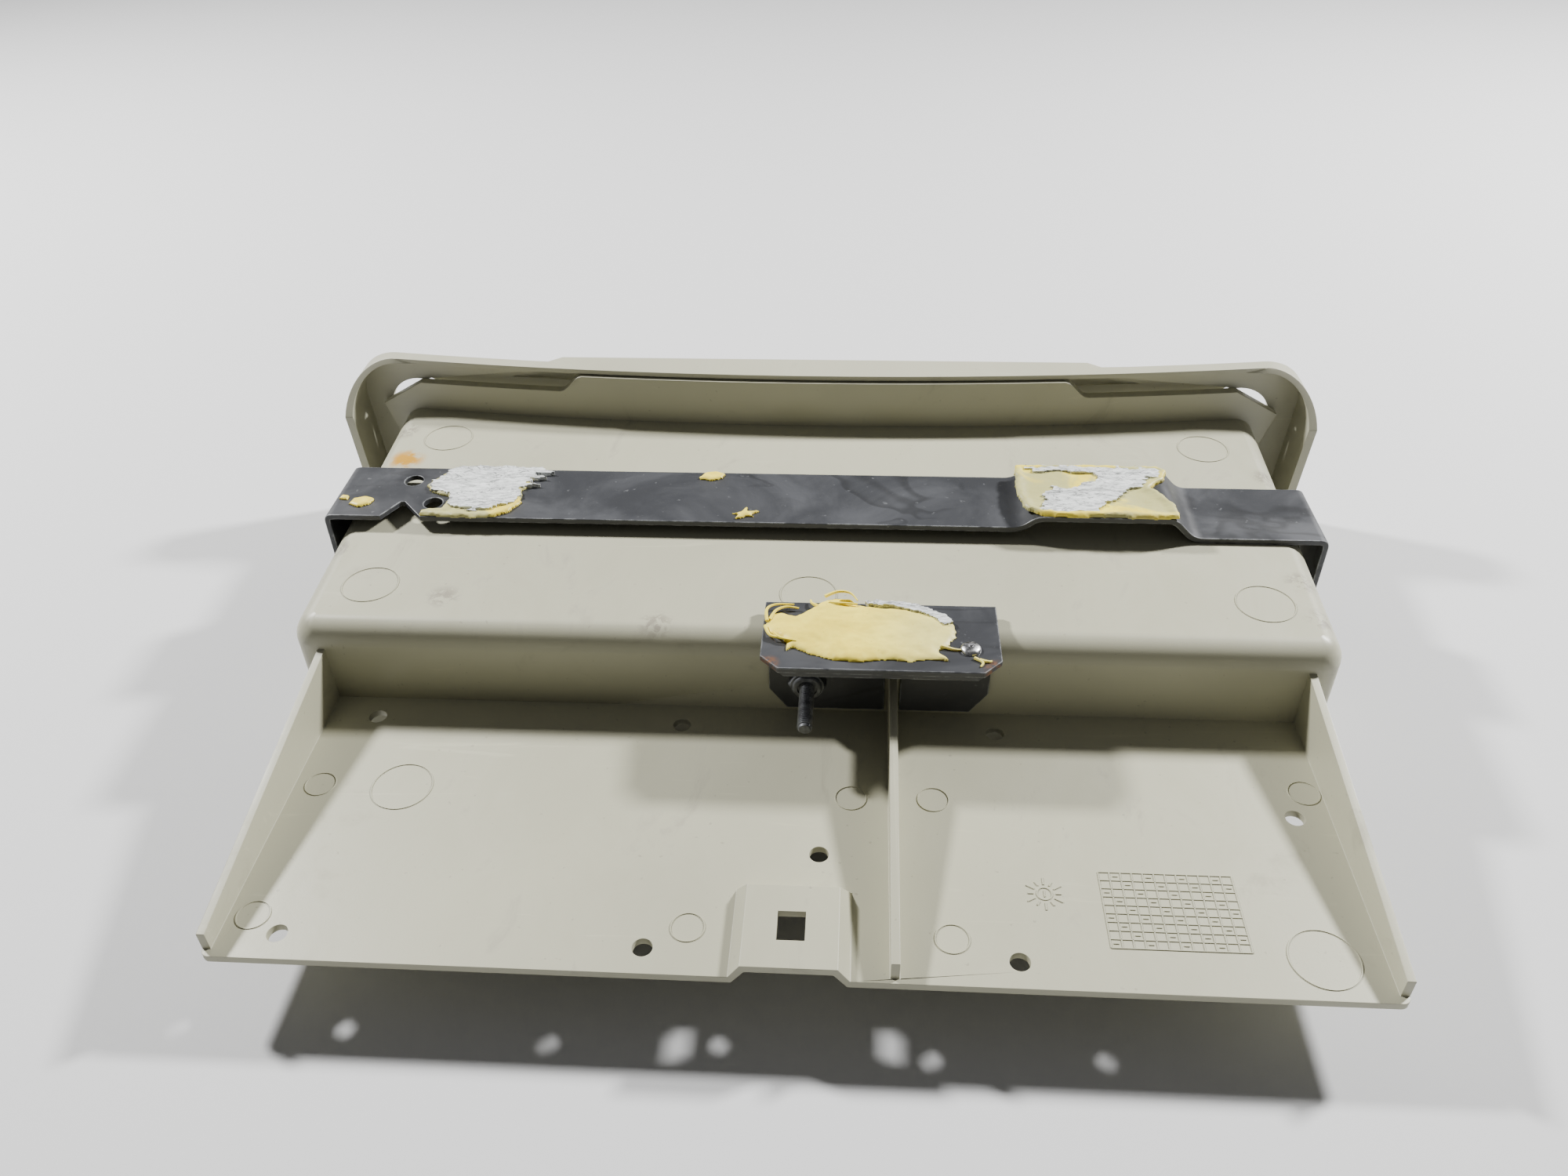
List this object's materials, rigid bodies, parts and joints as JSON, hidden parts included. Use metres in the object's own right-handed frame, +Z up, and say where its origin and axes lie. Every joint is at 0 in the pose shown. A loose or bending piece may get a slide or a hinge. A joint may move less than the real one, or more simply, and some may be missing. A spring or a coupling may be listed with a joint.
{
  "type": "cab storage tray",
  "caption": "Moulded open-fronted cab storage tray with a drilled rear shelf, a curved bezel, a folded steel hold-down strap and a bolted steel bracket.",
  "frame": {"origin": "middle of the footprint, on the surface the tray rests on", "axes": "+X to the right seen from the rear shelf, +Y out of the tray's mouth, +Z up"},
  "size_m": [0.48, 0.3192, 0.0905],
  "materials": {
    "tray_plastic": "fine satin moulded, warm grey",
    "bezel_plastic": "fine satin moulded, warm grey",
    "black_steel": "satin black, scuffed",
    "black_fastener": "black oxide",
    "rivet_metal": "dull",
    "adhesive": "cured, pale yellow, smooth",
    "torn_backing": "torn, fibrous, white"
  },
  "bodies": {
    "tray": {"bin_shell": "tray_plastic", "rear_shelf": "tray_plastic", "mouth_flange": "tray_plastic", "front_bezel": "bezel_plastic", "hold_down_strap": "black_steel", "strap_rivet_left": "rivet_metal", "strap_rivet_right": "rivet_metal", "strap_spacer_left": "black_steel", "strap_spacer_right": "black_steel", "angle_bracket": "black_steel", "cover_plate": "black_steel", "bracket_rivet": "rivet_metal", "clamp_bolt": "black_fastener", "inner_washer": "rivet_metal", "bracket_adhesive": "adhesive", "bracket_backing": "torn_backing", "left_adhesive": "adhesive", "left_backing": "torn_backing", "right_adhesive": "adhesive", "right_backing": "torn_backing", "strap_adhesive_dabs": "adhesive"},
    "washer": {"outer_washer": "black_fastener"},
    "nut": {"lock_nut": "black_fastener"}
  },
  "joints": [
    {"name": "washer_slide", "type": "slide", "parent": "tray", "child": "washer", "axis": [0, -1, 0], "range_m": [0, 0.0201]},
    {"name": "nut_spin", "type": "hinge", "parent": "washer", "child": "nut", "pos_m": [0.001, -0.0409, 0.0475], "axis": [0, -1, 0], "range_deg": [0, 7200]}
  ],
  "couplings": [
    {"joint": "washer_slide", "follows": "nut_spin", "m_per_rad": 0.00015915}
  ]
}
